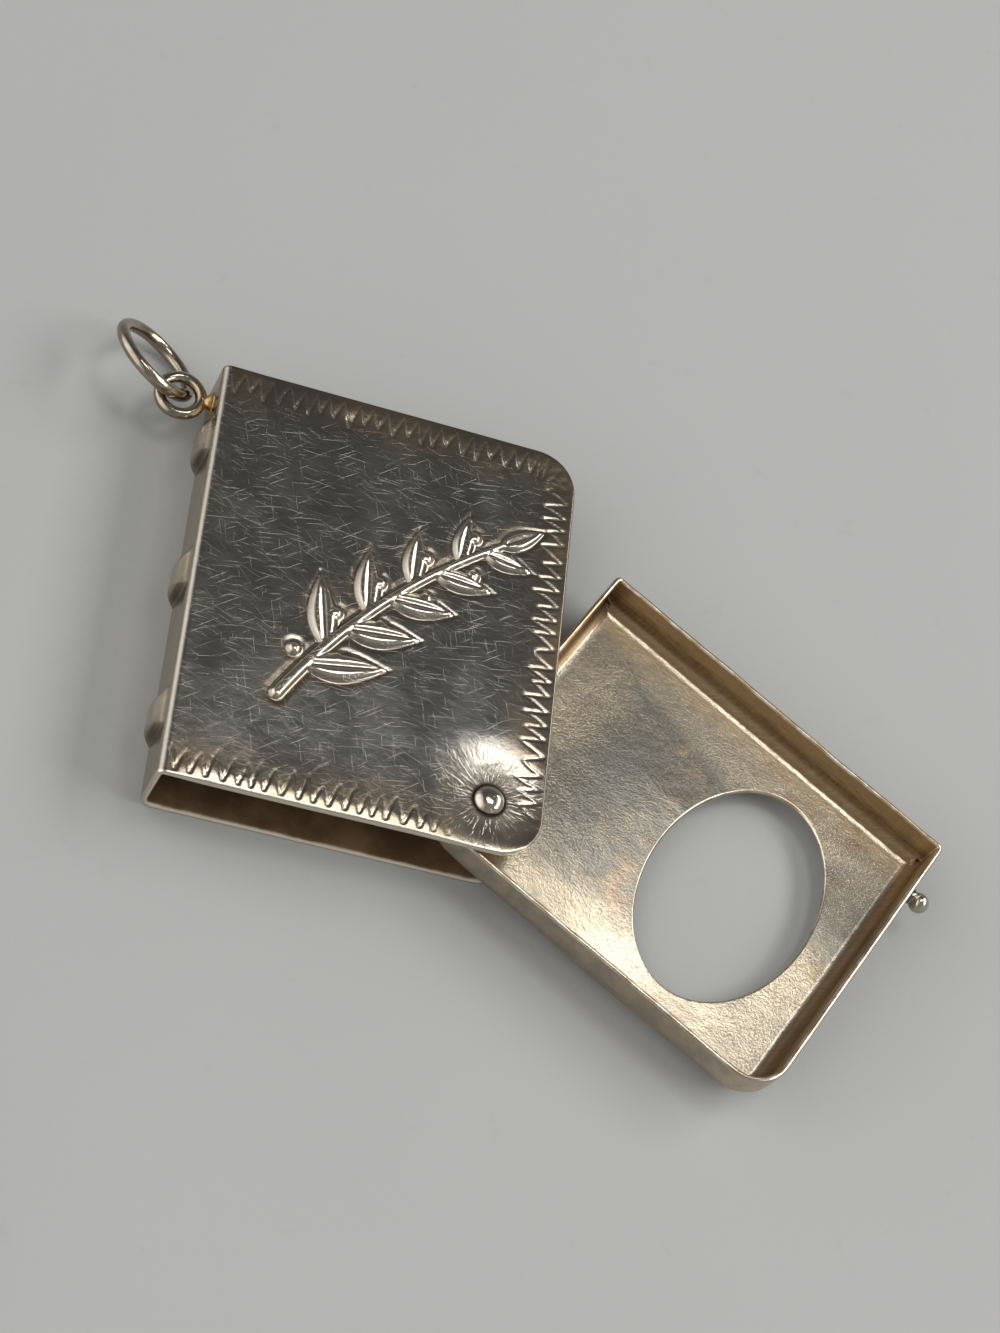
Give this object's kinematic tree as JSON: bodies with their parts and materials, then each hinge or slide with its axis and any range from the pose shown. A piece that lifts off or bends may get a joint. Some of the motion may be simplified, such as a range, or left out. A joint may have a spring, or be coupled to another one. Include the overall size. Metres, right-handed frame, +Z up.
{
  "type": "stamp box",
  "caption": "Small silver stamp case in the form of a book, with a riveted swing-out tray between its covers, a thumb ball and a hanging ring.",
  "frame": {"origin": "centre of the back cover's underside, between the spine's outer face and the fore-edge", "axes": "+X from the spine to the fore-edge, +Y from the foot of the book to its head, +Z up through the covers"},
  "size_m": [0.0584, 0.0432, 0.0055],
  "materials": {
    "cover_silver": "worn sheet silver, grey tarnish with fine scratches",
    "tray_silver": "satin sheet silver, warm tarnish",
    "polished_silver": "polished silver with dark tarnish in its hollows",
    "wire_silver": "polished silver wire, warm tarnish"
  },
  "bodies": {
    "case": {"book_cover": "cover_silver", "pivot_rivet": "polished_silver", "floor_washer": "tray_silver", "hanging_loop": "wire_silver"},
    "tray": {"tray_pan": "tray_silver", "pivot_tube": "tray_silver", "thumb_ball": "polished_silver"},
    "ring": {"jump_ring": "wire_silver"}
  },
  "joints": [
    {"name": "tray_swing", "type": "hinge", "parent": "case", "child": "tray", "pos_m": [0.00845, -0.01113, 0.0026], "axis": [0, 0, 1], "range_deg": [-130, 120]},
    {"name": "ring_rock", "type": "hinge", "parent": "case", "child": "ring", "pos_m": [-0.01404, 0.01295, 0.0026], "axis": [-0.6554, 0.754, -0.0436], "range_deg": [0, 96]}
  ]
}
